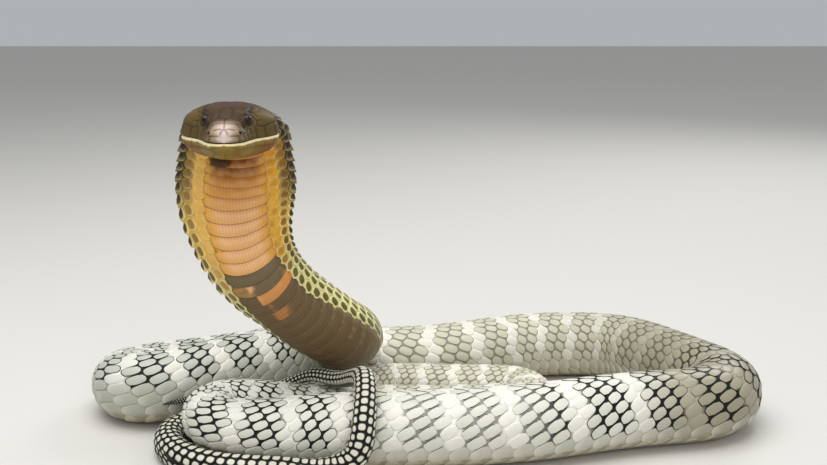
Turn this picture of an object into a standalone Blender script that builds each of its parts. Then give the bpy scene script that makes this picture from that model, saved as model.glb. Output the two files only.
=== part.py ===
"""King cobra in its hooded display, coiled on the ground, life size.

Metres, +Z up, +X along the coil.  The snake is one long loft, parted across its length into
named lengths, with a head, a lower jaw and two eyes.
"""
import math

import bmesh
import bpy
import numpy as np
from mathutils import Matrix, Vector

MM = 0.001
PART_GAP = 0.3 * MM
BODY_SIDES = 16
TAIL_SIDES = 12
RING_PITCH = 0.68           # ring spacing, as a share of the half width
MIN_RING_PITCH = 6.5        # mm, for the thin end of the tail
FLOOR_SETTLE = 1.3          # mm, what comes this near the floor rests flat on it
CENTRE = (7.8, 82.68)        # mm, the middle of the coil's floor box in the route's own numbers

# The route runs from the back of the head to the tip of the tail, one station a row, in
# millimetres: x, y, z of the middle line, half width, height above it, depth below it.
ROUTE = {
    "nape": (-131.5, -4, 261, 29, 20, 21),
    "hood top": (-132.5, 9, 259, 37, 17, 19),
    "hood upper": (-133.5, 17, 243, 41.5, 14.5, 16),
    "hood widest": (-134, 18, 223, 44.5, 13.5, 15),
    "hood lower": (-134, 16, 200, 43, 14.5, 15.5),
    "neck top": (-130.5, 17, 175, 37.5, 17.5, 18),
    "neck bend": (-121.5, 26, 148, 33.5, 21.5, 20.5),
    "neck slope": (-102, 43, 121, 32, 25, 23.5),
    "neck foot": (-78, 62, 96, 31.5, 27.5, 25.5),
    "heel front": (-61, 84, 78, 30.5, 28.5, 27),
    "heel side": (-57, 109, 67, 30.5, 29, 27.5),
    "heel back": (-73, 133, 56, 31, 29.5, 28),
    "left coil start": (-101, 133.5, 42, 31.3, 30, 29),
    "left coil": (-143, 119.5, 36, 31, 30, 30),
    "left coil end": (-182, 100, 34.5, 31, 30, 30.5),
    "left turn in": (-211, 88, 32, 31, 29.5, 30.5),
    "left turn front": (-237, 91, 30, 30.5, 28, 30.5),
    "left turn side": (-248.5, 118, 27, 30.5, 25.5, 28),
    "left turn back": (-237, 146, 24.5, 31, 23, 25.5),
    "left turn out": (-210, 162, 24, 31.5, 22.5, 25),
    "back coil left": (-172, 176, 24.5, 31.7, 23, 25.5),
    "back coil behind": (-130, 194, 25, 31.5, 24, 26),
    "back coil heel": (-85, 197, 26, 31, 25.5, 27),
    "back coil": (-35, 179, 27, 31, 27.5, 28),
    "back coil middle": (33, 181, 28, 31, 29, 29),
    "back coil right": (95, 205, 28.5, 31, 29.5, 29.5),
    "right turn in": (150, 214, 28.5, 31.5, 29.5, 29.5),
    "right turn back": (195, 204, 28.5, 31.5, 29.5, 29.5),
    "right turn far": (226, 167, 28.5, 31.5, 29.5, 29.5),
    "right turn side": (250, 126, 28.5, 31.5, 29.5, 29.5),
    "right turn near": (263, 88, 28.5, 31.5, 29.5, 29.5),
    "right turn out": (245, 57, 28.5, 31.5, 29.5, 29.5),
    "front coil right": (205, 43.5, 28.5, 32, 29.5, 29.5),
    "front coil slope": (155, 31, 28.5, 32, 29.5, 29.5),
    "front coil middle": (99, 12, 28.5, 32, 29.5, 29.5),
    "front coil": (50, 2, 28.5, 31.5, 29.5, 29.5),
    "front coil mid left": (-10, -1, 28, 31, 28.5, 29),
    "front coil left": (-85, 0, 26.5, 28.5, 26.5, 27.2),
    "inner turn in": (-136, -5, 30, 23.5, 22.3, 22.3),
    "inner turn front": (-154, 2.2, 31.5, 22, 21.2, 21.2),
    "inner turn side": (-161.5, 19.8, 32, 21.5, 20.8, 20.8),
    "inner turn back": (-154, 37.3, 31.5, 21.3, 20.8, 20.8),
    "inner turn out": (-136, 44.6, 30, 21.3, 20.8, 20.8),
    "hidden coil left": (-90, 52.5, 22.5, 21.7, 21, 21.6),
    "hidden coil": (-30, 55, 21, 22, 21, 21.6),
    "hidden coil right": (28, 57, 20.5, 21.8, 20.8, 21.2),
    "small turn in": (72, 62.5, 20.3, 21.4, 20.5, 20.9),
    "small turn front": (90.5, 67.5, 20.2, 21.3, 20.4, 20.8),
    "small turn side": (99, 87.5, 20, 21.1, 20.3, 20.7),
    "small turn back": (90.5, 107, 19.9, 21, 20.2, 20.6),
    "small turn out": (71, 113.5, 19.8, 20.9, 20.1, 20.5),
    "middle coil": (25, 117, 19.5, 21, 20, 20.4),
    "middle coil left": (-20, 122, 18.8, 20.4, 19.4, 19.7),
    "middle coil heel": (-60, 107.5, 17.3, 18.4, 17.5, 17.9),
    "tail root": (-100, 90.5, 14.8, 15.6, 14.9, 15.2),
    "tail behind": (-142, 77.5, 12.4, 13, 12.4, 12.7),
    "tail turn in": (-179, 55, 11.6, 12.3, 11.7, 12),
    "tail turn side": (-194, 26, 11.4, 12.2, 11.6, 11.9),
    "tail turn out": (-182, -9.5, 11.1, 11.9, 11.3, 11.6),
    "tail front": (-146, -35, 10.7, 11.5, 10.9, 11.2),
    "tail front middle": (-94, -42, 10.3, 11.1, 10.5, 10.8),
    "tail foot": (-58, -43, 12, 10.5, 9.9, 10.2),
    "tail rise": (-42, -43, 24, 9.9, 9.3, 9.6),
    "tail up": (-37, -36.5, 44, 9.4, 8.8, 9),
    "tail shoulder": (-36, -20, 61, 9, 8.4, 8.5),
    "tail over": (-38, 1, 67.5, 8.6, 8, 8),
    "tail down": (-46, 26, 60, 8, 7.4, 7.4),
    "tail curl": (-62, 46, 51.5, 7.3, 6.8, 6.8),
    "tail ridge": (-84, 65, 48.2, 6.2, 5.8, 5.8),
    "tail groove": (-112, 76.5, 34, 5.1, 4.8, 4.8),
    "tail groove end": (-142, 71, 29.8, 4.3, 4, 4),
    "tail fall": (-173, 61, 30, 3.7, 3.5, 3.5),
    "tail end": (-195, 55, 28.5, 3.1, 2.9, 2.9),
    "tail tip": (-207, 52, 27, 0.7, 0.7, 0.7),
}

# Which way the belly faces, at the stations where that changes; between them it turns evenly.
BELLY = {
    "nape": (0.1, -0.5, -1),
    "hood top": (0.12, -1, -0.8),
    "hood upper": (0.14, -1, 0),
    "neck bend": (0.05, -1, 0),
    "neck slope": (-0.15, -1, -0.15),
    "neck foot": (0.3, -0.82, -0.5),
    "heel front": (0.45, -0.6, -0.67),
    "heel side": (0.15, -0.35, -0.93),
    "heel back": (-0.1, -0.05, -1),
    "left coil start": (0, 0, -1),
    "tail front middle": (0, 0, -1),
    "tail foot": (0.1, 0.4, -1),
    "tail rise": (0.2, 1, -0.6),
    "tail up": (0.1, 1, -0.2),
    "tail shoulder": (0, 0.6, -0.8),
    "tail over": (0, 0, -1),
    "tail down": (0.1, -0.5, -0.8),
    "tail curl": (0, -0.2, -1),
    "tail ridge": (0, 0, -1),
    "tail tip": (0, 0, -1),
}

# Section roundness: 2 is an ellipse, less draws the hood's sides out to thin edges.
ROUNDNESS = {
    "nape": 2.1,
    "hood top": 1.9,
    "hood upper": 1.65,
    "neck top": 1.7,
    "neck slope": 1.95,
    "heel front": 2.1,
    "left coil": 2.2,
    "tail tip": 2.1,
}

# Each length of the body, with the station where it ends.
LENGTHS = (
    ("hood_upper", "hood widest"),
    ("hood_lower", "neck bend"),
    ("neck", "neck foot"),
    ("trunk_01_heel", "heel side"),
    ("trunk_02_heel", "left coil start"),
    ("trunk_03_left", "left turn in"),
    ("trunk_04_left_turn", "left turn side"),
    ("trunk_05_left_turn", "left turn out"),
    ("trunk_06_back", "back coil heel"),
    ("trunk_07_back", "back coil middle"),
    ("trunk_08_back", "right turn in"),
    ("trunk_09_right_turn", "right turn side"),
    ("trunk_10_right_turn", "right turn out"),
    ("trunk_11_front", "front coil middle"),
    ("trunk_12_front", "front coil mid left"),
    ("trunk_13_front", "inner turn in"),
    ("trunk_14_inner_turn", "inner turn side"),
    ("trunk_15_inner_turn", "inner turn out"),
    ("trunk_16_hidden", "hidden coil"),
    ("trunk_17_hidden", "small turn in"),
    ("trunk_18_small_turn", "small turn side"),
    ("trunk_19_small_turn", "middle coil"),
    ("trunk_20_middle", "tail root"),
    ("tail_01", "tail turn in"),
    ("tail_02", "tail turn side"),
    ("tail_03", "tail front"),
    ("tail_04", "tail foot"),
    ("tail_05", "tail shoulder"),
    ("tail_06", "tail down"),
    ("tail_07", "tail ridge"),
    ("tail_08", "tail groove end"),
    ("tail_09", "tail tip"),
)

# The head, from the nape (0) to the snout, in millimetres along its own axis:
# distance, half width, height above the mouth line, depth below it.
HEAD = (
    (0, 29, 20, 21),
    (12, 32.6, 21.6, 19.6),
    (20, 34, 22.4, 18.2),
    (29, 33.8, 22.4, 17),
    (38, 30, 21.8, 16),
    (46, 24, 20.6, 15.2),
    (53, 19.2, 18.6, 14.4),
    (60, 16.4, 15.8, 13.2),
    (66, 14.3, 13.2, 11.2),
    (71, 11.6, 10.8, 8.8),
    (74.5, 7.8, 8, 6.6),
    (76, 3.6, 4.6, 3.9),
)
HEAD_YAW = math.radians(4)
HEAD_PITCH = math.radians(0.5)
HEAD_ROUNDNESS = 2.35
HEAD_SIDES = 16
NAPE_LEAN_END = 29          # mm from the nape, where the lean of the back end has faded out
NAPE_TO_MOUTH = 0.5         # mm, the nape's middle line above the mouth line
EYE_RADIUS = 3.4
EYE_AT = (53.5, 14.8, 13.6)  # mm: along the head, out to the side, above the mouth line
EYE_CLEARANCE = 0.3

SKIN = {
    "head": (0.20, 0.13, 0.08),
    "hood": (0.62, 0.36, 0.12),
    "trunk": (0.55, 0.55, 0.44),
    "tail": (0.06, 0.06, 0.05),
    "eye": (0.012, 0.009, 0.007),
}


def clear_scene():
    for item in list(bpy.data.objects):
        bpy.data.objects.remove(item, do_unlink=True)


def make_material(name, colour, roughness):
    material = bpy.data.materials.new(name)
    material.use_nodes = True
    shader = material.node_tree.nodes["Principled BSDF"]
    shader.inputs["Base Color"].default_value = (*colour, 1.0)
    shader.inputs["Roughness"].default_value = roughness
    return material


def cubic_through(knots, values, at):
    """Natural cubic spline through the values at the knots, read at each place."""
    gaps = np.diff(knots)
    count = len(knots)
    system = np.zeros((count, count))
    right = np.zeros((count, values.shape[1]))
    system[0, 0] = system[-1, -1] = 1.0
    for i in range(1, count - 1):
        system[i, i - 1] = gaps[i - 1]
        system[i, i] = 2 * (gaps[i - 1] + gaps[i])
        system[i, i + 1] = gaps[i]
        slope_out = (values[i + 1] - values[i]) / gaps[i]
        slope_in = (values[i] - values[i - 1]) / gaps[i - 1]
        right[i] = 6 * (slope_out - slope_in)
    bend = np.linalg.solve(system, right)
    span = np.clip(np.searchsorted(knots, at, side="right") - 1, 0, count - 2)
    gap = gaps[span][:, None]
    low = (knots[span + 1] - at)[:, None]
    high = (at - knots[span])[:, None]
    curve = (bend[span] * low ** 3 + bend[span + 1] * high ** 3) / (6 * gap)
    curve += (values[span] / gap - bend[span] * gap / 6) * low
    curve += (values[span + 1] / gap - bend[span + 1] * gap / 6) * high
    return curve


def evenly_between(names, table, station, at):
    """Values given at some stations only, turned evenly from one to the next."""
    places = [station[name] for name in table]
    rows = np.array([np.atleast_1d(value) for value in table.values()], float)
    return np.stack([np.interp(at, places, column) for column in rows.T], axis=1)


class Body:
    """The middle line of the snake with its sections, read at any distance from the nape."""

    def __init__(self):
        self.names = list(ROUTE)
        rows = np.array(list(ROUTE.values()), float)
        rows[:, 0] -= CENTRE[0]
        rows[:, 1] -= CENTRE[1]
        steps = np.linalg.norm(np.diff(rows[:, :3], axis=0), axis=1)
        self.knots = np.concatenate([[0.0], np.cumsum(steps)])
        self.rows = rows
        self.station = dict(zip(self.names, self.knots))

    def read(self, at):
        at = np.asarray(at, float)
        values = cubic_through(self.knots, self.rows, at)
        step = 0.5
        ahead = cubic_through(self.knots, self.rows, np.minimum(at + step, self.knots[-1]))
        behind = cubic_through(self.knots, self.rows, np.maximum(at - step, 0.0))
        along = ahead[:, :3] - behind[:, :3]
        along /= np.linalg.norm(along, axis=1)[:, None]
        belly = evenly_between(self.names, BELLY, self.station, at)
        belly -= (belly * along).sum(axis=1)[:, None] * along
        belly /= np.linalg.norm(belly, axis=1)[:, None]
        side = np.cross(belly, along)
        roundness = evenly_between(self.names, ROUNDNESS, self.station, at)[:, 0]
        return values[:, :3], along, belly, side, values[:, 3:6], roundness

    def ring(self, at, sides, ahead=0.0):
        """One section as points, moved ahead along the body, with a flat where it rests."""
        middle, along, belly, side, size, roundness = [value[0] for value in self.read([at])]
        middle = middle + along * ahead
        points = []
        for k in range(sides):
            angle = math.tau * k / sides
            across = signed_power(math.cos(angle), 2 / roundness) * size[0]
            height = signed_power(math.sin(angle), 2 / roundness)
            height *= size[1] if height > 0 else size[2]
            point = middle + side * across - belly * height
            if point[2] < FLOOR_SETTLE:
                point[2] = 0.0
            points.append(Vector(point * MM))
        return points


def signed_power(value, power):
    return math.copysign(abs(value) ** power, value)


def loft(name, rings, material):
    """Closed solid through equal rings of points, with a flat cap at each end."""
    mesh = bmesh.new()
    loops = []
    for ring in rings:
        loops.append([mesh.verts.new(point) for point in ring])
    count = len(loops[0])
    for near, far in zip(loops, loops[1:]):
        for k in range(count):
            follow = (k + 1) % count
            mesh.faces.new((near[k], near[follow], far[follow], far[k]))
    mesh.faces.new(list(reversed(loops[0])))
    mesh.faces.new(loops[-1])
    bmesh.ops.recalc_face_normals(mesh, faces=mesh.faces)
    data = bpy.data.meshes.new(name)
    mesh.to_mesh(data)
    mesh.free()
    data.materials.append(material)
    data.shade_smooth()
    data.set_sharp_from_angle(angle=math.radians(50))
    result = bpy.data.objects.new(name, data)
    bpy.context.collection.objects.link(result)
    return result


def body_length(body, name, start, end, sides, material):
    """One length of the body between two distances from the nape, both in millimetres.

    Its end sections lie in the planes of the cuts, half a gap inside them.
    """
    places = [start]
    while places[-1] < end:
        half_width = cubic_through(body.knots, body.rows, np.array([places[-1]]))[0, 3]
        places.append(places[-1] + max(half_width * RING_PITCH, MIN_RING_PITCH))
    scale = (end - start) / (places[-1] - start)
    places = [start + (place - start) * scale for place in places]
    half_gap = PART_GAP / MM / 2
    rings = [body.ring(start, sides, half_gap)]
    rings += [body.ring(place, sides) for place in places[1:-1]]
    rings.append(body.ring(end, sides, -half_gap))
    return loft(name, rings, material)


def head_frame(body):
    """The head's own frame: left, forward and up, with its middle at the nape's mouth line."""
    forward = Vector((math.sin(HEAD_YAW), -math.cos(HEAD_YAW), 0)) * math.cos(HEAD_PITCH)
    forward.z = -math.sin(HEAD_PITCH)
    left = Vector((0, 0, 1)).cross(forward).normalized()
    up = forward.cross(left)
    origin = Vector(body.rows[0, :3] * MM) - up * NAPE_TO_MOUTH * MM
    return Matrix((left, forward, up)).transposed(), origin


def head_half(name, body, upper, material):
    """Upper head or lower jaw: a loft of half sections, flat along the mouth line.

    Its back end leans as the first section of the neck does, so that the two meet.
    """
    frame, origin = head_frame(body)
    neck = frame.transposed() @ Vector(body.read([0.0])[1][0])
    gap = PART_GAP / MM
    rings = []
    for distance, half_width, above, below in HEAD:
        height = above if upper else -below
        mouth = gap / 2 if upper else -gap / 2
        lean = max(0.0, 1 - distance / NAPE_LEAN_END)
        ring = []
        for k in range(HEAD_SIDES + 1):
            angle = math.pi * k / HEAD_SIDES
            across = signed_power(math.cos(angle), 2 / HEAD_ROUNDNESS) * half_width
            level = signed_power(math.sin(angle), 2 / HEAD_ROUNDNESS) * height + mouth
            place = distance - lean * (across * neck.x + level * neck.z) / neck.y
            place += gap * (distance == 0)
            ring.append(origin + frame @ Vector((across, place, level)) * MM)
        rings.append(ring)
    return loft(name, rings, material)


def eye(name, body, side, material):
    frame, origin = head_frame(body)
    along, out, above = EYE_AT
    place = origin + frame @ Vector((side * out * MM, along * MM, above * MM))
    mesh = bmesh.new()
    bmesh.ops.create_icosphere(mesh, subdivisions=2, radius=EYE_RADIUS * MM)
    bmesh.ops.transform(mesh, matrix=Matrix.Translation(place), verts=mesh.verts)
    data = bpy.data.meshes.new(name)
    mesh.to_mesh(data)
    mesh.free()
    data.materials.append(material)
    data.shade_smooth()
    result = bpy.data.objects.new(name, data)
    bpy.context.collection.objects.link(result)
    return place


def cut_socket(head, name, place):
    """A round socket a little larger than the eye, cut into the side of the head."""
    mesh = bmesh.new()
    bmesh.ops.create_icosphere(mesh, subdivisions=2, radius=(EYE_RADIUS + EYE_CLEARANCE) * MM)
    bmesh.ops.transform(mesh, matrix=Matrix.Translation(place), verts=mesh.verts)
    data = bpy.data.meshes.new(name)
    mesh.to_mesh(data)
    mesh.free()
    cutter = bpy.data.objects.new(name, data)
    bpy.context.collection.objects.link(cutter)
    cutter.hide_render = True
    cutter.display_type = "WIRE"
    cut = head.modifiers.new(name, "BOOLEAN")
    cut.operation = "DIFFERENCE"
    cut.solver = "EXACT"
    cut.object = cutter


def build():
    clear_scene()
    colours = {name: make_material(name, colour, 0.25 if name == "eye" else 0.5)
               for name, colour in SKIN.items()}
    body = Body()
    start = 0.0
    for name, last in LENGTHS:
        end = body.station[last]
        kind = name.split("_")[0]
        skin = colours[kind if kind in SKIN else "hood"]
        sides = TAIL_SIDES if kind == "tail" else BODY_SIDES
        body_length(body, name, start, end, sides, skin)
        start = end
    head = head_half("head", body, True, colours["head"])
    head_half("lower_jaw", body, False, colours["head"])
    for name, side in (("left", 1), ("right", -1)):
        place = eye(f"eye_{name}", body, side, colours["eye"])
        cut_socket(head, f"cut_{name}", place)
    bpy.context.view_layer.update()


build()
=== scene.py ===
import math
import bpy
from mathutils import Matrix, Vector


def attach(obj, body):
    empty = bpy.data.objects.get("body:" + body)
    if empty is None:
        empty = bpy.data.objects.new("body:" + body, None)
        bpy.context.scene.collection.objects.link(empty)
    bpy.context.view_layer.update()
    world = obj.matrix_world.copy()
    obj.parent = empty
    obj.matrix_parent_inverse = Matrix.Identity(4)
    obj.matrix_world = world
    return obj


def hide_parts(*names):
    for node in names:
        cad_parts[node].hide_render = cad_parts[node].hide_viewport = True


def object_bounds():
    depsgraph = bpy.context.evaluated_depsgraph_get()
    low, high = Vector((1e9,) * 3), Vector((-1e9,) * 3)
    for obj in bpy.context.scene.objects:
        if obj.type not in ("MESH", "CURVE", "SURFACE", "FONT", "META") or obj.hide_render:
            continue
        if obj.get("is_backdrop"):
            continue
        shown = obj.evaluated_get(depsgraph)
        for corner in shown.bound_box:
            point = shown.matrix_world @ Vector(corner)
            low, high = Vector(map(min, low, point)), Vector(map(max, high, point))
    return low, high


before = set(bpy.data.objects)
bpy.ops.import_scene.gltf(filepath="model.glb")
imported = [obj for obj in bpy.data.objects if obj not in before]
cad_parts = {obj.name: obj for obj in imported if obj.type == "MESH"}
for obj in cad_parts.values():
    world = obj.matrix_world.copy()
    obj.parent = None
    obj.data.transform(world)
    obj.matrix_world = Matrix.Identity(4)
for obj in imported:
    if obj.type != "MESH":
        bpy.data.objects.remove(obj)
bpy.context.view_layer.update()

from types import SimpleNamespace

import bmesh
import bpy
import numpy as np
from mathutils import Matrix, Vector


# The body's line. A king cobra is one long muscle round about 300 vertebrae, so its shape is a
# line through the coils with a section at each station: x, y, z of the middle, half width,
# height above it and depth below it, all in millimetres from the back of the head to the tip.
ROUTE = {
    "nape": (-131.5, -4, 261, 29, 20, 21),
    "hood top": (-132.5, 9, 259, 37, 17, 19),
    "hood upper": (-133.5, 17, 243, 41.5, 14.5, 16),
    "hood widest": (-134, 18, 223, 44.5, 13.5, 15),
    "hood lower": (-134, 16, 200, 43, 14.5, 15.5),
    "neck top": (-130.5, 17, 175, 37.5, 17.5, 18),
    "neck bend": (-121.5, 26, 148, 33.5, 21.5, 20.5),
    "neck slope": (-102, 43, 121, 32, 25, 23.5),
    "neck foot": (-78, 62, 96, 31.5, 27.5, 25.5),
    "heel front": (-61, 84, 78, 30.5, 28.5, 27),
    "heel side": (-57, 109, 67, 30.5, 29, 27.5),
    "heel back": (-73, 133, 56, 31, 29.5, 28),
    "left coil start": (-101, 133.5, 42, 31.3, 30, 29),
    "left coil": (-143, 119.5, 36, 31, 30, 30),
    "left coil end": (-182, 100, 34.5, 31, 30, 30.5),
    "left turn in": (-211, 88, 32, 31, 29.5, 30.5),
    "left turn front": (-237, 91, 30, 30.5, 28, 30.5),
    "left turn side": (-248.5, 118, 27, 30.5, 25.5, 28),
    "left turn back": (-237, 146, 24.5, 31, 23, 25.5),
    "left turn out": (-210, 162, 24, 31.5, 22.5, 25),
    "back coil left": (-172, 176, 24.5, 31.7, 23, 25.5),
    "back coil behind": (-130, 194, 25, 31.5, 24, 26),
    "back coil heel": (-85, 197, 26, 31, 25.5, 27),
    "back coil": (-35, 179, 27, 31, 27.5, 28),
    "back coil middle": (33, 181, 28, 31, 29, 29),
    "back coil right": (95, 205, 28.5, 31, 29.5, 29.5),
    "right turn in": (150, 214, 28.5, 31.5, 29.5, 29.5),
    "right turn back": (195, 204, 28.5, 31.5, 29.5, 29.5),
    "right turn far": (226, 167, 28.5, 31.5, 29.5, 29.5),
    "right turn side": (250, 126, 28.5, 31.5, 29.5, 29.5),
    "right turn near": (263, 88, 28.5, 31.5, 29.5, 29.5),
    "right turn out": (245, 57, 28.5, 31.5, 29.5, 29.5),
    "front coil right": (205, 43.5, 28.5, 32, 29.5, 29.5),
    "front coil slope": (155, 31, 28.5, 32, 29.5, 29.5),
    "front coil middle": (99, 12, 28.5, 32, 29.5, 29.5),
    "front coil": (50, 2, 28.5, 31.5, 29.5, 29.5),
    "front coil mid left": (-10, -1, 28, 31, 28.5, 29),
    "front coil left": (-85, 0, 26.5, 28.5, 26.5, 27.2),
    "inner turn in": (-136, -5, 30, 23.5, 22.3, 22.3),
    "inner turn front": (-154, 2.2, 31.5, 22, 21.2, 21.2),
    "inner turn side": (-161.5, 19.8, 32, 21.5, 20.8, 20.8),
    "inner turn back": (-154, 37.3, 31.5, 21.3, 20.8, 20.8),
    "inner turn out": (-136, 44.6, 30, 21.3, 20.8, 20.8),
    "hidden coil left": (-90, 52.5, 22.5, 21.7, 21, 21.6),
    "hidden coil": (-30, 55, 21, 22, 21, 21.6),
    "hidden coil right": (28, 57, 20.5, 21.8, 20.8, 21.2),
    "small turn in": (72, 62.5, 20.3, 21.4, 20.5, 20.9),
    "small turn front": (90.5, 67.5, 20.2, 21.3, 20.4, 20.8),
    "small turn side": (99, 87.5, 20, 21.1, 20.3, 20.7),
    "small turn back": (90.5, 107, 19.9, 21, 20.2, 20.6),
    "small turn out": (71, 113.5, 19.8, 20.9, 20.1, 20.5),
    "middle coil": (25, 117, 19.5, 21, 20, 20.4),
    "middle coil left": (-20, 122, 18.8, 20.4, 19.4, 19.7),
    "middle coil heel": (-60, 107.5, 17.3, 18.4, 17.5, 17.9),
    "tail root": (-100, 90.5, 14.8, 15.6, 14.9, 15.2),
    "tail behind": (-142, 77.5, 12.4, 13, 12.4, 12.7),
    "tail turn in": (-179, 55, 11.6, 12.3, 11.7, 12),
    "tail turn side": (-194, 26, 11.4, 12.2, 11.6, 11.9),
    "tail turn out": (-182, -9.5, 11.1, 11.9, 11.3, 11.6),
    "tail front": (-146, -35, 10.7, 11.5, 10.9, 11.2),
    "tail front middle": (-94, -42, 10.3, 11.1, 10.5, 10.8),
    "tail foot": (-58, -43, 12, 10.5, 9.9, 10.2),
    "tail rise": (-42, -43, 24, 9.9, 9.3, 9.6),
    "tail up": (-37, -36.5, 44, 9.4, 8.8, 9),
    "tail shoulder": (-36, -20, 61, 9, 8.4, 8.5),
    "tail over": (-38, 1, 67.5, 8.6, 8, 8),
    "tail down": (-46, 26, 60, 8, 7.4, 7.4),
    "tail curl": (-62, 46, 51.5, 7.3, 6.8, 6.8),
    "tail ridge": (-84, 65, 48.2, 6.2, 5.8, 5.8),
    "tail groove": (-112, 76.5, 34, 5.1, 4.8, 4.8),
    "tail groove end": (-142, 71, 29.8, 4.3, 4, 4),
    "tail fall": (-173, 61, 30, 3.7, 3.5, 3.5),
    "tail end": (-195, 55, 28.5, 3.1, 2.9, 2.9),
    "tail tip": (-207, 52, 27, 0.7, 0.7, 0.7),
}
BELLY = {
    "nape": (0.1, -0.5, -1),
    "hood top": (0.12, -1, -0.8),
    "hood upper": (0.14, -1, 0),
    "neck bend": (0.05, -1, 0),
    "neck slope": (-0.15, -1, -0.15),
    "neck foot": (0.3, -0.82, -0.5),
    "heel front": (0.45, -0.6, -0.67),
    "heel side": (0.15, -0.35, -0.93),
    "heel back": (-0.1, -0.05, -1),
    "left coil start": (0, 0, -1),
    "tail front middle": (0, 0, -1),
    "tail foot": (0.1, 0.4, -1),
    "tail rise": (0.2, 1, -0.6),
    "tail up": (0.1, 1, -0.2),
    "tail shoulder": (0, 0.6, -0.8),
    "tail over": (0, 0, -1),
    "tail down": (0.1, -0.5, -0.8),
    "tail curl": (0, -0.2, -1),
    "tail ridge": (0, 0, -1),
    "tail tip": (0, 0, -1),
}
ROUNDNESS = {
    "nape": 2.1,
    "hood top": 1.9,
    "hood upper": 1.65,
    "neck top": 1.7,
    "neck slope": 1.95,
    "heel front": 2.1,
    "left coil": 2.2,
    "tail tip": 2.1,
}
MM = 0.001
CENTRE = (7.8, 82.68)       # the middle of the coils' floor box, in the stations' own numbers
COAT = 0.7                  # mm, how deep the skin lies under the scales' outer face
GRID_PITCH = 2.0            # mm between the sections that the surface is read from
GRID_AROUND = 144
OUTLINE_STEPS = 720
BELLY_POINT = -math.pi / 2  # the angle of the belly's middle in a section
PROBE = 0.5                 # mm each way, for the line's direction at a place
FLOOR_GAP = 0.02            # mm, the least height of a scale over the floor

stations = np.array(list(ROUTE.values()), float)
stations[:, :2] -= CENTRE
spans = np.linalg.norm(np.diff(stations[:, :3], axis=0), axis=1)
knots = np.concatenate([[0.0], np.cumsum(spans)])
place_of = dict(zip(ROUTE, knots))
LENGTH = knots[-1]


def cubic_through(knots, values):
    """A reader of the natural cubic spline through the values at the knots."""
    gaps = np.diff(knots)
    slopes = np.diff(values, axis=0) / gaps[:, None]
    system = np.eye(len(knots))
    inner = np.arange(1, len(knots) - 1)
    system[inner, inner - 1] = gaps[:-1]
    system[inner, inner] = 2 * (gaps[:-1] + gaps[1:])
    system[inner, inner + 1] = gaps[1:]
    right = np.zeros(values.shape)
    right[1:-1] = 6 * np.diff(slopes, axis=0)
    bend = np.linalg.solve(system, right)

    def read(at):
        span = np.clip(np.searchsorted(knots, at, side="right") - 1, 0, len(gaps) - 1)
        gap = gaps[span][:, None]
        low = (knots[span + 1] - at)[:, None]
        high = (at - knots[span])[:, None]
        curve = (bend[span] * low ** 3 + bend[span + 1] * high ** 3) / (6 * gap)
        curve += (values[span] / gap - bend[span] * gap / 6) * low
        return curve + (values[span + 1] / gap - bend[span + 1] * gap / 6) * high

    return read


def between(table, at):
    """Values given at some stations, turned evenly from one to the next."""
    places = [place_of[name] for name in table]
    columns = np.array([np.atleast_1d(value) for value in table.values()], float).T
    return np.stack([np.interp(at, places, column) for column in columns], axis=-1)


def even_outline(half_width, above, below, roundness, count):
    """A section's points at even steps round from the belly's middle: across, height and angle."""
    angle = BELLY_POINT + np.linspace(0, math.tau, OUTLINE_STEPS + 1)
    power = 2 / roundness
    across = np.sign(np.cos(angle)) * np.abs(np.cos(angle)) ** power * half_width
    height = np.sign(np.sin(angle)) * np.abs(np.sin(angle)) ** power
    height *= np.where(height > 0, above, below)
    steps = np.hypot(np.diff(across), np.diff(height))
    run = np.concatenate([[0], np.cumsum(steps)])
    at = np.arange(count) / count * run[-1]
    return [np.interp(at, run, values) for values in (across, height, angle)] + [run[-1]]


read_body = cubic_through(knots, stations)
grid_s = np.arange(0, LENGTH + GRID_PITCH, GRID_PITCH).clip(0, LENGTH)
grid_rows = read_body(grid_s)
along = read_body((grid_s + PROBE).clip(0, LENGTH)) - read_body((grid_s - PROBE).clip(0, LENGTH))
along = along[:, :3] / np.linalg.norm(along[:, :3], axis=1)[:, None]
belly = between(BELLY, grid_s)
belly -= (belly * along).sum(axis=1)[:, None] * along
belly /= np.linalg.norm(belly, axis=1)[:, None]
side = np.cross(belly, along)
grid_round = between(ROUNDNESS, grid_s)[:, 0]
grid_girth = np.zeros(len(grid_s))
surface = np.zeros((len(grid_s), GRID_AROUND, 3))
for i, row in enumerate(grid_rows):
    across, height, _, grid_girth[i] = even_outline(*row[3:6], grid_round[i], GRID_AROUND)
    surface[i] = row[:3] + side[i] * across[:, None] - belly[i] * height[:, None]
surface[:, :, 2] = surface[:, :, 2].clip(0)


def outward(points, middles):
    """Unit normals of a grid of rings, pointing away from the rings' middles."""
    round_ring = np.roll(points, -1, axis=1) - np.roll(points, 1, axis=1)
    down_body = np.gradient(points, axis=0)
    normal = np.cross(round_ring, down_body)
    normal /= np.linalg.norm(normal, axis=2)[:, :, None] + 1e-12
    away = ((points - middles[:, None]) * normal).sum(axis=2)
    return normal * np.where(away < 0, -1, 1)[:, :, None]


surface_out = outward(surface, grid_rows[:, :3])


def on_body(s, turn, lift):
    """Places on the snake: s in mm from the nape, turn as a share of the way round from the
    belly's middle, and lift in mm above the skin."""
    row = np.clip(s / GRID_PITCH, 0, len(grid_s) - 1.001)
    i = row.astype(int)
    down = (row - i)[..., None]
    column = (turn % 1.0) * GRID_AROUND
    j = column.astype(int) % GRID_AROUND
    right = (column - np.floor(column))[..., None]
    after = (j + 1) % GRID_AROUND
    read = []
    for grid in (surface, surface_out):
        near = grid[i, j] * (1 - right) + grid[i, after] * right
        far = grid[i + 1, j] * (1 - right) + grid[i + 1, after] * right
        read.append(near * (1 - down) + far * down)
    place = read[0] + read[1] * (lift - COAT)[..., None]
    place[..., 2] = place[..., 2].clip(FLOOR_GAP)
    return place


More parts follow.
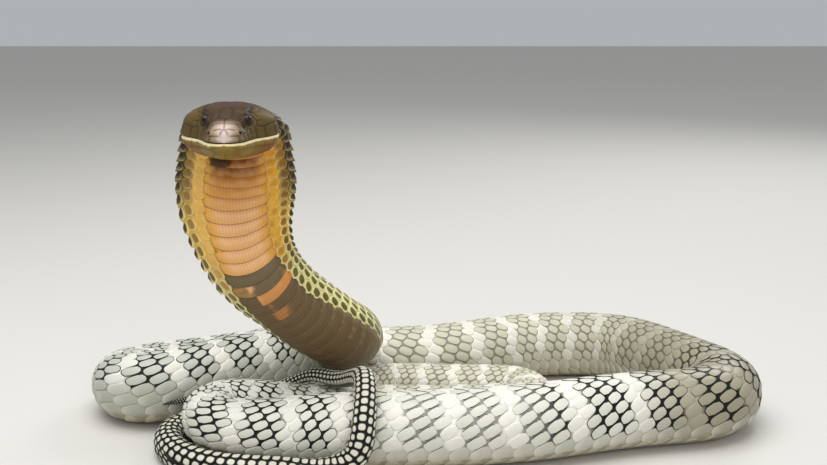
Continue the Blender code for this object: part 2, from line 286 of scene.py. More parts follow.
# The lie of the scales. Dorsal scales run in long rows, 19 on the hood and neck, 15 on the
# trunk and 7 on the tail, between the two ends of the broad belly plates. Each row lies half a
# scale on from the next and falls back a little, so that the columns slant towards the tail.
SCALE_PITCH = {
    "nape": 7.6, "hood top": 7.7, "hood widest": 8.2, "neck top": 8.6, "neck bend": 9.2,
    "neck foot": 10.8, "heel side": 11.4, "left coil": 13.8, "left turn in": 11.8,
    "left turn side": 8.8, "left turn out": 10.4, "back coil behind": 11.2,
    "back coil right": 11.4, "right turn side": 11.6, "right turn out": 14.2,
    "front coil middle": 15.4, "front coil mid left": 14.8, "front coil left": 13.6,
    "inner turn in": 10.4, "inner turn side": 8.8, "hidden coil": 9.2,
    "middle coil": 8.2, "tail root": 7.4, "tail turn side": 7.4, "tail front": 7.9,
    "tail foot": 6.4, "tail up": 5.7, "tail down": 5.0, "tail ridge": 4.2,
    "tail groove end": 3.3, "tail tip": 1.9,
}
BELLY_SHARE = {             # how much of the girth the belly plates take
    "nape": 0.20, "hood widest": 0.245, "neck top": 0.26, "neck slope": 0.30,
    "neck foot": 0.34, "heel side": 0.36, "left coil": 0.33, "front coil left": 0.32, "tail root": 0.32,
    "tail turn side": 0.26, "tail tip": 0.25,
}
ROWS = 19
MIDDLE_ROW = 9
ROW_WIDTH = np.ones(ROWS)
ROW_WIDTH[[0, -1]] = 1.3
ROW_WIDTH[[1, -2]] = 1.14
ROW_WIDTH[[2, -3]] = 1.05
ROW_ENDS = {                # rows that run out, in pairs on each side: where the fading starts
    (3, 4): (238, 60),
    (6, 7): (place_of["tail root"] + 10, 60),
    (1, 2): (place_of["tail turn side"], 70),
}
ROW_END = 0.45              # a row that runs out ends where its share of a width falls to this
TAIL_MIDDLE = 0.42          # how much wider the middle row grows on the tail


def smooth(value, low, high):
    """0 below low, 1 above high, and an even rise with soft ends between them."""
    step = np.clip((value - low) / (high - low), 0, 1)
    return step * step * (3 - 2 * step)


def stretch(value, start, full, fading, end):
    """1 along a stretch of the value, with soft ends."""
    return smooth(value, start, full) * (1 - smooth(value, fading, end))


def row_weights(s):
    """Each row's share of the width at each place, shape (places, rows)."""
    weights = np.repeat(ROW_WIDTH[None], len(s), axis=0)
    for pair, (start, run) in ROW_ENDS.items():
        fade = 1 - smooth(s, start, start + run)
        for row in pair:
            weights[:, row] *= fade
            weights[:, ROWS - 1 - row] *= fade
    on_tail = smooth(s, place_of["tail turn side"], place_of["tail front"])
    weights[:, MIDDLE_ROW] *= 1 + TAIL_MIDDLE * on_tail
    return weights


COLUMN_LEAN = 0.22          # how much of a scale each row falls back from the one above it
grid_belly = between(BELLY_SHARE, grid_s)[:, 0]
grid_pitch = between(SCALE_PITCH, grid_s)[:, 0]
grid_count = np.concatenate([[0], np.cumsum(GRID_PITCH / grid_pitch)[:-1]])
grid_weights = row_weights(grid_s)
grid_rows_wide = grid_weights.sum(axis=1)


def upness(turn):
    """0 at the middle of the belly and 1 at the middle of the back."""
    return 1 - np.abs(turn % 1.0 - 0.5) * 2


def rows_down(s, turn):
    """How many rows a place lies below the middle of the back."""
    rows_wide = np.interp(s, grid_s, grid_rows_wide)
    return (1 - upness(turn)) / (1 - np.interp(s, grid_s, grid_belly)) * rows_wide / 2


def scale_places():
    """Every dorsal scale: its place along, turn, length, width and row."""
    found = []
    ends = np.cumsum(grid_weights, axis=1)
    for row in range(ROWS):
        weight = grid_weights[:, row]
        centre = (ends[:, row] - weight / 2) / grid_rows_wide
        turn = grid_belly / 2 + (1 - grid_belly) * centre
        width = weight / grid_rows_wide * (1 - grid_belly) * grid_girth
        column_at = grid_count - COLUMN_LEAN * rows_down(grid_s, turn) - 0.5 * (row % 2)
        column_at = np.maximum.accumulate(column_at)
        columns = np.arange(math.ceil(column_at[0] + 0.01), column_at[-1])
        s = np.interp(columns, column_at, grid_s)
        rows = [s] + [np.interp(s, grid_s, value) for value in (turn, grid_pitch, width)]
        rows += [np.full(len(s), row)]
        found.append(np.stack(rows, axis=1)[np.interp(s, grid_s, weight) > ROW_END])
    return np.concatenate(found)


BAND_PERIOD = 3.05          # scales from one pale band to the next
BAND_DARK = 0.70            # the dark share of a period
BAND_EDGE = 0.05


def markings(s, turn):
    """The masks of the snake's pattern, and of the shade and highlight painted on it, alike on skin
    and scales, as named values. A mask that belongs to one stretch of the body starts and ends at
    so many mm from the nape."""
    up = upness(turn)
    drift = 0.10 * np.sin(s / 37.0) + 0.10 * np.sin(s / 83.0 + 1)
    phase = (np.interp(s, grid_s, grid_count) / BAND_PERIOD + drift) % 1.0
    band = stretch(phase, 0, BAND_EDGE, BAND_DARK, BAND_DARK + BAND_EDGE)
    belly_up = np.interp(s, grid_s, grid_belly)
    tail = smooth(s, place_of["tail root"] - 60, place_of["tail root"] + 60)
    behind = stretch(s, 700, 800, 1060, 1130)
    inner = smooth(s, place_of["inner turn out"], place_of["hidden coil"]) * (1 - tail)
    # the left coil, which is painted in shade: greyer, and its low rows reach higher
    left = stretch(s, 290, 340, 600, 680)
    low_edge = belly_up + 0.08 + 0.13 * left
    return {
        "along": s,
        "up": up,
        "sway": np.sin(turn * math.tau),
        "band": band,
        "hood": 1 - smooth(s, 225, 330),
        "tail": tail,
        "low": 1 - smooth(up, low_edge, low_edge + 0.09),
        "left": left,
        "green": np.maximum(behind, inner),
        "faded": np.maximum(stretch(s, 600, 660, 1060, 1130), inner),
        # painted highlight: a stretch of the front coil where glare washes out the outlines' ends
        "washed": stretch(s, 1290, 1340, 1440, 1480),
        # painted shade: the right turn painted darker
        "dusty": stretch(s, 880, 1080, 1190, 1250),
    }


def give(mesh, values):
    """Puts named values on a mesh's points, for its material to read."""
    for name, value in values.items():
        layer = mesh.attributes.new(name, "FLOAT", "POINT")
        layer.data.foreach_set("value", np.asarray(value, np.float32).ravel())


# The head. A cobra's skull is short and broad, with a rounded snout, a ridge over each eye and
# swollen cheeks over the venom glands. Large smooth shields cover it, met in fine grooves.
# Distances run from the nape to the snout: distance, half width, height above the mouth, depth.
HEAD = np.array([
    (0, 29, 20, 21),
    (12, 32.6, 21.6, 19.6),
    (20, 34, 22.4, 18.2),
    (29, 33.8, 22.4, 17),
    (38, 30, 21.8, 16),
    (46, 24, 20.6, 15.2),
    (53, 19.2, 18.6, 14.4),
    (60, 16.4, 15.8, 13.2),
    (66, 14.3, 13.2, 11.2),
    (71, 11.6, 10.8, 8.8),
    (74.4, 7.8, 8, 6.6),
    (75.9, 3.6, 4.4, 3.7),
    (76.2, 0.02, 0.02, 0.02),
], float)
HEAD_YAW = math.radians(4)
HEAD_PITCH = math.radians(0.5)
HEAD_ROUNDNESS = 2.35
NAPE_LEAN_END = 29
NAPE_TO_MOUTH = 0.5
HEAD_SKIN = 0.35            # mm, the head's shields are the skin itself, just under the outline
SKIN_AROUND = 72
HEAD_AROUND = 4 * SKIN_AROUND
HEAD_RINGS = 150
EYE_RADIUS = 3.3
EYE_AT = np.array([13.9, 53.3, 13.2])       # out to the side, along, above the mouth
EYE_FACES = np.array([0.84, 0.30, 0.42])    # the way the eye looks, out, forward and up
EYE_FACES = EYE_FACES / np.linalg.norm(EYE_FACES)
EYE_OPENING = 2.75          # mm, the radius of what shows of it
EYE_RIM = (0.75, 3.3, 1.25) # mm, the raised ring round it: height, radius, width
EYE_RING = 4.9              # mm, the radius of the groove round the small scales by the eye
EYE_SOCKET = (3.2, 0.9)     # mm, how deep it falls behind the ring, and over what distance
NOSTRIL = (69.3, 6.6)       # mm: along, above the lip
NOSTRIL_HOLE = (1.5, 1.0)   # mm: depth, size
NOSTRIL_RIM = (0.3, 2, 0.7) # mm: height, radius, width
SHIELD = (0.20, 1.8)        # mm, how far a shield swells, and over what distance from its edge
GROOVE = (0.42, 0.5)        # mm: depth and width of the groove between shields

forward = Vector((math.sin(HEAD_YAW), -math.cos(HEAD_YAW), 0)) * math.cos(HEAD_PITCH)
forward.z = -math.sin(HEAD_PITCH)
left = Vector((0, 0, 1)).cross(forward).normalized()
head_up = forward.cross(left)
HEAD_FRAME = np.array(Matrix((left, forward, head_up)).transposed())
HEAD_ORIGIN = stations[0, :3] - np.array(head_up) * NAPE_TO_MOUTH
neck_way = HEAD_FRAME.T @ along[0]

profile_run = np.concatenate([[0], np.cumsum(np.hypot(*np.diff(HEAD[:, :2], axis=0).T))])
read_head = cubic_through(profile_run, HEAD)
ring_places = np.linspace(0, profile_run[-1], HEAD_RINGS)
head_rows = read_head(ring_places)
head_rows[:, 1:] = head_rows[:, 1:].clip(0.01)
shape = (HEAD_RINGS, HEAD_AROUND)
local = np.zeros(shape + (3,))
from_top = np.zeros(shape)
from_lip = np.zeros(shape)
from_chin = np.zeros(shape)
for i, (distance, half_width, above, below) in enumerate(head_rows):
    roundness = 2.1 + (HEAD_ROUNDNESS - 2.1) * smooth(distance, 0, 14)
    x, z, angle, girth = even_outline(half_width, above, below, roundness, HEAD_AROUND)
    lean = max(0.0, 1 - distance / NAPE_LEAN_END)
    local[i] = np.stack([x, distance - lean * (x * neck_way[0] + z * neck_way[2])
                         / neck_way[1], z], axis=1)
    run = np.arange(HEAD_AROUND) / HEAD_AROUND * girth
    half_run = np.minimum(run, girth - run)
    lip_run = np.interp(0.0, angle[:HEAD_AROUND // 2], half_run[:HEAD_AROUND // 2])
    from_chin[i] = half_run
    from_top[i] = girth / 2 - half_run
    from_lip[i] = half_run - lip_run
distance = np.repeat(head_rows[:, :1], HEAD_AROUND, axis=1)

# The shields' edges, as lines of (distance from the nape, arc from the top, lip or chin) in mm,
# each drawn on both sides of the head.
CROWN_SEAMS = [
    [(75.2, 2.6), (73.2, 0)],
    [(73.2, 0), (59.4, 0)],
    [(73.4, 0.6), (72.6, 3.8), (71.8, 7.5)],
    [(66.8, 0), (66.3, 4), (65.2, 9.5)],
    [(59.4, 0), (58.9, 4.8), (60.2, 10)],
    [(58.9, 4.8), (52, 4.6), (46, 3.2), (43.2, 0)],
    [(43.2, 0), (45.2, 4), (45.9, 9), (46.6, 13.5)],
    [(60.2, 10), (57.5, 11.3), (53, 12.2), (49, 12.6), (46.6, 13.5)],
    [(43.2, 0), (11, 0)],
    [(27.6, 0), (27.0, 6), (28.6, 12), (33, 15.5), (40, 16.2), (46.6, 13.5)],
    [(27.4, 9), (21, 13), (15.5, 12), (11.5, 7), (11, 0)],
    [(33, 15.5), (30, 21), (29.5, 26)],
    [(28.6, 12), (22, 15.5), (19, 20), (18, 27)],
    [(21, 13), (13, 16), (9, 21), (7, 28)],
    [(15.5, 12), (8, 13), (2, 12)],
    [(11.5, 7), (5, 6.5), (-4, 6)],
    [(46.6, 13.5), (44, 18), (44.5, 22)],
    [(44, 18), (38, 21.5), (30, 21), (24, 24), (19, 20)],
]
LIP_SEAMS = [
    [(75.0, 5.0), (72.0, 4.6), (66.5, 5.0), (62.5, 5.8), (58.8, 8.0)],
    [(48.4, 8.2), (44, 7.4), (38, 8.4), (31, 8.8), (24, 8.2), (17, 6.6)],
    [(72.4, 0), (72.3, 4.6)],
    [(67.6, 0), (67.2, 5.0)],
    [(62.6, 0), (62.6, 5.8)],
    [(57.0, 0), (56.7, 7.4)],
    [(50.8, 0), (50.6, 7.6)],
    [(43.0, 0), (43.6, 7.4)],
    [(33.0, 0), (33.6, 8.7)],
    [(22.0, 0), (22.6, 8.0)],
    [(66.9, 5.0), (67.2, 9.0), (66.0, 13.5)],
    [(69.4, 4.9), (69.4, 9.4)],
    [(62.4, 5.8), (61.6, 9.5), (60.6, 13.8)],
    [(48.4, 8.2), (47.4, 12), (47.2, 16)],
    [(47.6, 11.6), (44.2, 12.4)],
]
JAW_SEAMS = [
    [(75.0, -3.2), (71.5, -5.0), (64, -5.6), (56, -5.8), (46, -6.4), (34, -7.2), (22, -7.0)],
    [(73.2, 0), (72.6, -4.6)],
    [(68.6, 0), (68.2, -5.3)],
    [(64.0, 0), (63.6, -5.6)],
    [(58.8, 0), (58.2, -5.8)],
    [(51.5, 0), (51, -6.0)],
    [(43.5, 0), (43, -6.6)],
    [(35.0, 0), (34.6, -7.1)],
    [(26.5, 0), (26.2, -7.0)],
]
CHIN_SEAMS = [
    [(72.2, 0), (44, 0)],
    [(71.0, 0), (71.4, 5), (71.8, 9)],
    [(59.8, 0), (59.6, 5), (60.6, 9.4)],
    [(70.6, 6.4), (60, 9.6), (50, 8.4), (45.5, 4.0), (44, 0)],
    [(44, 0), (40, 4.5), (38, 11), (38, 18)],
    [(50, 8.4), (48, 13), (48.5, 18)],
    [(40, 4.5), (34, 0)],
]


def nearest(u, v, lines):
    """Distance in mm from each point to the nearest of the lines."""
    best = np.full(u.shape, 99.0)
    for line in lines:
        for (u0, v0), (u1, v1) in zip(line, line[1:]):
            du, dv = u1 - u0, v1 - v0
            t = np.clip(((u - u0) * du + (v - v0) * dv) / (du * du + dv * dv), 0, 1)
            best = np.minimum(best, np.hypot(u - u0 - t * du, v - v0 - t * dv))
    return best


def scale_net(u, v, pitch, width):
    """Distance in mm to the edges of small scales laid in rows, half a step on each."""
    best = np.full(u.shape, 99.0)
    next_best = best.copy()
    row = np.round(v / width)
    for step in (-1, 0, 1):
        r = row + step
        shift = 0.5 * (r % 2)
        column = np.round(u / pitch - shift)
        for side_step in (-1, 0, 1):
            gap = np.hypot((u - (column + side_step + shift) * pitch) * width / pitch * 1.3,
                           v - r * width)
            closer = gap < best
            next_best = np.where(closer, best, np.minimum(next_best, gap))
            best = np.minimum(best, gap)
    return (next_best - best) / 2


seam_gap = np.minimum(nearest(distance, from_top, CROWN_SEAMS),
                      nearest(distance, from_lip, LIP_SEAMS + JAW_SEAMS))
seam_gap = np.minimum(seam_gap, nearest(distance, from_chin, CHIN_SEAMS))
nape_net = scale_net(distance, from_top, 7.0, 6.6)
throat_net = scale_net(distance, from_chin, 6.4, 4.6)
nape_zone = (from_top > 17) & (from_lip > 8.6) & (distance < 30) | (distance < 9)
throat_zone = (from_lip < -8.5) & (distance < 44 - from_chin * 0.2)
seam_gap = np.where(nape_zone & (from_lip > 0), np.minimum(seam_gap, nape_net), seam_gap)
seam_gap = np.where(throat_zone, np.minimum(seam_gap, throat_net), seam_gap)

mirrored = np.abs(local[..., 0])
to_eye = np.stack([mirrored, local[..., 1], local[..., 2]], axis=-1) - EYE_AT
depth_to_eye = to_eye @ EYE_FACES
eye_gap = np.sqrt(((to_eye - depth_to_eye[..., None] * EYE_FACES) ** 2).sum(axis=-1))
near_eye = (depth_to_eye > -6) & (mirrored > 4)
eye_gap = np.where(near_eye, eye_gap, 99.0)
nostril_gap = np.hypot((distance - NOSTRIL[0]) / 1.25, from_lip - NOSTRIL[1])
seam_gap = np.minimum(seam_gap, np.abs(eye_gap - EYE_RING) + 0.15 + 9 * (eye_gap < 2.9))

SWELLINGS = (               # mm: height, what it is measured from, place and size there
    (1.15, from_top, (53, 13.2), (7.5, 2.6)),       # the ridge over the eye
    (-1.35, from_lip, (61.5, 10.2), (5.0, 3.0)),    # the hollow in front of it
    (-0.5, from_top, (62, 3), (5, 4)),              # the dip behind the snout
    (0.9, from_lip, (27, 13), (13, 7)),             # the venom gland
    (-0.5, from_top, (36, 0), (16, 2.5)),           # the crown's middle line
    (0.5, from_top, (33, 9), (12, 6)),              # the muscles on both sides of it
)
LIP_FOLDS = (               # mm: height, arc from the lip, width, and where it starts
    (0.45, 1.7, 1.3, 8),
    (0.30, -1.9, 1.3, 8),
    (-1.05, 0, 0.6, 10),
)

lift = SHIELD[0] * (1 - np.exp(-(seam_gap / SHIELD[1]) ** 2))
lift -= GROOVE[0] * np.exp(-(seam_gap / GROOVE[1]) ** 2)
lift *= smooth(distance, -1, 6)
for height, arc, place, size in SWELLINGS:
    lift += height * np.exp(-((distance - place[0]) / size[0]) ** 2
                            - ((arc - place[1]) / size[1]) ** 2)
for height, arc, width, start in LIP_FOLDS:
    lift += height * np.exp(-((from_lip - arc) / width) ** 2) * smooth(distance, start, 20)
height, radius, width = EYE_RIM
lift += height * np.exp(-((eye_gap - radius) / width) ** 2) * (eye_gap > EYE_OPENING)
rim_level = height * math.exp(-((EYE_OPENING - radius) / width) ** 2)
socket = rim_level - EYE_SOCKET[0] * smooth(EYE_OPENING - eye_gap, 0, EYE_SOCKET[1])
lift = np.where(eye_gap <= EYE_OPENING, socket, lift)
height, radius, width = NOSTRIL_RIM
lift -= (NOSTRIL_HOLE[0] * np.exp(-(nostril_gap / NOSTRIL_HOLE[1]) ** 2)
         - height * np.exp(-((nostril_gap - radius) / width) ** 2))
lift *= smooth(profile_run[-1] - ring_places, 0, 3)[:, None]

head_points = HEAD_ORIGIN + local @ HEAD_FRAME.T
middles = HEAD_ORIGIN + np.outer(head_rows[:, 0], HEAD_FRAME[:, 1])
head_out = outward(head_points, middles)
head_points = head_points + head_out * (lift - HEAD_SKIN)[..., None]
first_turn = np.arange(HEAD_AROUND) / HEAD_AROUND
first_ring = on_body(np.zeros(HEAD_AROUND), first_turn, np.zeros(HEAD_AROUND))
join = 1 - smooth(head_rows[:, 0], 0, 14)
head_points += (first_ring - head_points[0])[None] * join[:, None, None]


# The skin. One closed hide from the snout to the tip of the tail, with no seam: bare and
# sculpted in shields on the head, and soft and folded between the scales behind it.
SKIN_PITCH = 4.6            # mm between the body's rings
HEAD_MAP_SHARE = 0.5        # how much of the skin's unwrap the head takes
BODY_STRIPS = 6             # the body is unwrapped in this many strips, side by side

ring_s = np.arange(SKIN_PITCH, LENGTH - 0.5, SKIN_PITCH)
body_turn = np.arange(SKIN_AROUND) / SKIN_AROUND
s_grid, turn_grid = np.meshgrid(ring_s, body_turn, indexing="ij")
wrinkle = 0.10 * np.sin(s_grid / 1.9 + 2 * np.sin(turn_grid * 40))
body_points = on_body(s_grid, turn_grid, wrinkle)
skin_points = np.concatenate([head_points[::-1].reshape(-1, 3), body_points.reshape(-1, 3),
                              on_body(np.array([LENGTH]), np.array([0.0]), np.array([0.0]))])
skin_s = np.concatenate([-distance[::-1].ravel(), s_grid.ravel(), [LENGTH]])
skin_turn = np.concatenate([np.tile(first_turn, HEAD_RINGS), turn_grid.ravel(), [0.0]])

faces = []
face_maps = []


def map_across(strip, turn, start, wide, margin):
    """Where a turn lies across the unwrap, whose strips are so wide and lie side by side."""
    return start + wide * (strip + margin + (1 - 2 * margin) * turn)


def skin_tube(first, rings, around, strip_rings, *layout):
    """Faces between rings of points, and their corners' places on the unwrap."""
    ring, j = np.meshgrid(np.arange(rings - 1), np.arange(around), indexing="ij")
    strip = ring // strip_rings
    corners, places = [], []
    for down, right in ((0, 0), (0, 1), (1, 1), (1, 0)):
        corners.append(first + (ring + down) * around + (j + right) % around)
        places.append((ring + down - strip * strip_rings) / strip_rings * 0.98 + 0.01)
        places.append(map_across(strip, (j + right) / around, *layout))
    faces.extend(np.stack(corners, axis=-1).reshape(-1, 4).tolist())
    face_maps.extend(np.stack(places, axis=-1).reshape(-1, 8).tolist())


head_layout = (1 - HEAD_MAP_SHARE, HEAD_MAP_SHARE, 0.01)
body_layout = (0, (1 - HEAD_MAP_SHARE) / BODY_STRIPS, 0.03)
body_first = HEAD_RINGS * HEAD_AROUND
skin_tube(0, HEAD_RINGS, HEAD_AROUND, HEAD_RINGS - 1, *head_layout)
last_ring = body_first - HEAD_AROUND
for j in range(SKIN_AROUND):
    k = (j + 1) % SKIN_AROUND
    near = [last_ring + (4 * j + m) % HEAD_AROUND for m in range(5)]
    fan = [(near[0], near[1], body_first + j), (near[1], near[2], body_first + j),
           (near[2], body_first + k, body_first + j), (near[2], near[3], body_first + k),
           (near[3], near[4], body_first + k)]
    sliver = []
    for u, part in ((0.992, 0.3), (0.996, 0.7), (0.998, 0.5)):
        sliver += [u, map_across(0, (j + part) / SKIN_AROUND, *head_layout)]
    faces += fan
    face_maps += [sliver] * len(fan)
skin_tube(body_first, len(ring_s), SKIN_AROUND, math.ceil(len(ring_s) / BODY_STRIPS), *body_layout)
tip = len(skin_points) - 1
tail_ring = tip - SKIN_AROUND
for j in range(SKIN_AROUND):
    faces.append((tail_ring + j, tail_ring + (j + 1) % SKIN_AROUND, tip))
    face_maps.append((0.992, 0.1, 0.996, 0.1, 0.994, 0.104))
faces.append(tuple(reversed(range(HEAD_AROUND))))
face_maps.append(tuple([0.002, 0.6] * HEAD_AROUND))


def finished_mesh(name, points, faces, maps, material_values):
    """An object in the frame from points in mm, with the unwrap and the values given to it."""
    mesh = bpy.data.meshes.new(name)
    mesh.from_pydata((points * MM).tolist(), [], faces)
    layer = mesh.uv_layers.new(name="OFBake")
    layer.data.foreach_set("uv", np.asarray(maps, np.float32).ravel())
    give(mesh, material_values)
    mesh.update()
    mesh.shade_smooth()
    piece = bpy.data.objects.new(name, mesh)
    bpy.context.scene.collection.objects.link(piece)
    return piece


def on_head(values, elsewhere):
    """Values for the skin's points: a grid of them for the head, and one number behind it."""
    spread = np.full(len(skin_s), float(elsewhere))
    spread[:body_first] = values[::-1].ravel()
    return spread


skin_values = markings(skin_s, skin_turn)
zero = np.zeros(len(skin_s))
skin_values.update({
    "rim": on_head(np.zeros(shape), 1),
    "end": zero + 0.4,
    "rear": zero,
    "run": skin_s,
    "tint": zero + 0.5,
    "plate": (skin_values["up"] < np.interp(skin_s, grid_s, grid_belly)) * (skin_s > 0),
    "cross": zero,
    "seam": on_head(np.exp(-(seam_gap / 0.62) ** 2), 0),
    "lip": on_head(from_lip, -60),
    "crown": on_head(from_top, 60),
    "orbit": on_head(eye_gap, 60),
    "nostril": on_head(nostril_gap, 60),
})
flat_maps = [number for face_map in face_maps for number in face_map]
skin = finished_mesh("skin", skin_points, faces, flat_maps, skin_values)
sealed = bmesh.new()
sealed.from_mesh(skin.data)
bmesh.ops.recalc_face_normals(sealed, faces=sealed.faces)
sealed.to_mesh(skin.data)
sealed.free()
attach(skin, "root")
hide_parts(*[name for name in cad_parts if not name.startswith("eye_")])


# Living snake skin and scales: thin, smooth keratin over pigment. The scales are satin with a
# faint oily sheen, and the skin between them is duller. Both wear one pattern, with shade and
# highlights painted into it in places.
SKIN_SHINE = 0.46, 0.16     # roughness, and how strongly it reflects
SCALE_SHINE = 0.36, 0.26


def paint(hex_colour):
    """An sRGB hex colour as linear RGBA."""
    parts = [int(hex_colour[i:i + 2], 16) / 255 for i in (1, 3, 5)]
    return [p / 12.92 if p <= 0.04045 else ((p + 0.055) / 1.055) ** 2.4 for p in parts] + [1.0]


def add_node(tree, kind, inputs, **settings):
    """Adds a node, with its settings, and values or links on its inputs."""
    node = tree.nodes.new("ShaderNode" + kind)
    for name, value in settings.items():
        setattr(node, name, value)
    for key, value in inputs.items():
        if isinstance(value, bpy.types.NodeSocket):
            tree.links.new(value, node.inputs[key])
        else:
            node.inputs[key].default_value = value
    return node


def new_material(name):
    """A new material, its node tree and its main shader."""
    material = bpy.data.materials.new(name)
    material.use_nodes = True
    return material, material.node_tree, material.node_tree.nodes["Principled BSDF"]


def snake_material(name, roughness, specular):
    """The snake's keratin, with its whole pattern read from the values on the mesh, m. Places
    along and across the body and gaps to a line are in mm there."""
    material, tree, shader = new_material(name)
    m = SimpleNamespace()
    for label in skin_values:
        setattr(m, label, add_node(tree, "Attribute", {}, attribute_name=label).outputs["Fac"])
    where = add_node(tree, "TexCoord", {}).outputs["Object"]
    noises = {}
    for label, scale, detail in (("cloud", 28, 4), ("mottle", 150, 5), ("grain", 900, 3)):
        noises[label] = add_node(tree, "TexNoise", {"Vector": where, "Scale": scale,
                                                    "Detail": detail}).outputs["Fac"]

    def step(value, low, high, first=0.0, last=1.0):
        return add_node(tree, "MapRange", {0: value, 1: low, 2: high, 3: first, 4: last},
                        interpolation_type="SMOOTHSTEP").outputs[0]

    def fall(value, low, high):
        return step(value, low, high, 1.0, 0.0)

    def times(*masks):
        result = masks[0]
        for mask in masks[1:]:
            result = add_node(tree, "Math", {0: result, 1: mask}, operation="MULTIPLY").outputs[0]
        return result

    def within(value, low, full, fading, high):
        return times(step(value, low, full), fall(value, fading, high))

    def waves(value, length):
        turned = times(value, math.tau / length)
        return step(add_node(tree, "Math", {0: turned}, operation="SINE").outputs[0], -0.6, 0.8)

    def shifted(value, mask, reach):
        return add_node(tree, "Math", {0: mask, 1: reach, 2: value},
                        operation="MULTIPLY_ADD").outputs[0]

    def mixed(base, layers):
        """Lays colours over a base, each followed by its masks and how strong it is."""
        for colour, *masks in layers:
            colours = [paint(c) if isinstance(c, str) else c for c in (base, colour)]
            base = add_node(tree, "Mix", {0: times(*masks), 6: colours[0], 7: colours[1]},
                            data_type="RGBA").outputs[2]
        return base

    cloud = step(noises["cloud"], 0.35, 0.65)
    mottle = step(noises["mottle"], 0.4, 0.66)
    line = step(m.rim, 0.50, 0.66)
    high_rows = fall(m.low, 0.3, 0.8)
    pale_band = fall(m.band, 0.2, 0.8)
    # painted highlight: there the outlines' ends are left out, so only their long sides show, as dashes
    glare_dashes = times(m.washed, step(m.end, 0.25, 0.6))
    outline = times(m.band, line, high_rows, fall(glare_dashes, 0.0, 0.9), fall(m.faded, 0.0, 2.0))

    # the trunk: pale scales, outlined in black between the pale bands, with painted shade near the
    # right turn
    trunk = mixed("#D2D0C2", [
        ("#BCC2B4", cloud, 0.5),
        ("#E2DDD4", m.tint, 0.5),
        ("#B0AA84", m.green, 0.5),
        # painted shade: the left coil greyer
        ("#A3A79B", m.left, 0.6),
        ("#E7E3D8", pale_band, high_rows, 0.6),
        ("#F2EFE6", pale_band, high_rows, line, 0.6),
        # painted shade: the right turn darker grey-brown
        ("#8A836A", m.dusty, 0.85),
        ("#A9A797", m.low, 0.5),
        ("#EAE6D6", m.low, m.rear, 0.8),
        ("#1A1A17", outline),
        ("#B9B198", m.plate, 0.85),
        ("#7C745C", m.plate, line, 0.5),
    ])

    # the tail: black, with a pale oval on each scale
    tail_centre = fall(m.rim, 0.33, 0.45)
    tail = mixed("#13120E", [
        ("#D5D1BF", tail_centre),
        ("#ABA893", tail_centre, cloud, 0.35),
        ("#3A372B", m.plate, 0.8),
    ])

    # the underside of the hood and neck: plates brown, then orange, then peach, golden at both
    # ends, with a dark blotch below the chin, dark bars, and dark brown down to the heel
    down = m.along
    ragged = shifted(down, noises["cloud"], 30.0)
    frayed = shifted(down, noises["mottle"], 16.0)
    frayed_cross = shifted(m.cross, noises["mottle"], 16.0)
    frayed_sway = shifted(m.sway, noises["mottle"], 0.6)
    plates = mixed("#7E4416", [
        ("#DC9646", step(down, 44, 60)),
        ("#F5BE86", step(down, 60, 84)),
        ("#E0A03C", step(m.sway, 0.42, 0.66)),
        ("#E6AC46", fall(m.sway, -0.66, -0.42)),
        ("#F0C8A0", mottle, 0.25),
        ("#D99F50", step(m.rear, 0.4, 0.9), 0.5),
        ("#C07F3C", waves(m.cross, 2.4), 0.22),
        ("#A35F26", line, 0.8),
        ("#35260F", within(frayed, 40, 43, 49, 56), step(frayed_cross, -14, -9),
         fall(frayed_cross, 0, 5), 0.92),
    ])
    right_side = step(m.sway, -0.45, -0.15)
    browner = shifted(ragged, right_side, -15.0)
    bars = within(ragged, 130, 134, 147, 151)
    orange = times(step(frayed, 141, 146), fall(ragged, 164, 174), right_side)
    brown = step(browner, 147, 153)
    under = mixed(plates, [
        ("#57523F", bars, 0.9),
        ("#C98443", orange, 0.8),
        ("#5F4C32", brown, 0.97),
        ("#C98443", within(frayed, 163, 168, 173, 179), step(frayed_sway, 0.0, 0.15),
         fall(frayed_sway, 0.4, 0.6), 0.75),
        ("#806E4E", brown, waves(m.run, 2.9), 0.3),
        ("#8C7A58", brown, line, 0.6),
    ])

    # the hood's sides: golden by the plates, olive-brown ovals on yellow skin along the margin
    # and on the back, and black between pale tips just behind the head
    oval = fall(m.rim, 0.34, 0.46)
    golden = mixed("#D39426", [
        ("#E9B843", cloud, 0.5),
        ("#B07A24", mottle, 0.35),
        ("#B27A28", oval, mottle, 0.6),
        ("#F0CE7C", line, 0.5),
        # painted light: the golden skin on one side painted lighter
        ("#F3D080", fall(m.sway, -0.6, -0.2), 0.4),
    ])
    margin = mixed("#E8D080", [("#3E3216", oval), ("#685628", oval, mottle, 0.4)])
    backs = mixed("#A59B5C", [("#514A22", oval), ("#69612E", oval, mottle, 0.4)])
    neck_side = mixed("#E2DB9C", [("#5C5528", oval), ("#7C7542", oval, mottle, 0.4)])
    near_head = times(fall(down, 48, 86), step(m.up, 0.32, 0.42))
    hood_side = mixed(golden, [
        (margin, step(m.up, 0.36, 0.42)),
        (backs, step(m.up, 0.58, 0.68)),
        (neck_side, step(down, 100, 145)),
        ("#33281A", near_head, 0.9),
        ("#CDB780", near_head, m.rear, 0.7),
    ])
    hood = mixed(hood_side, [(under, m.plate)])
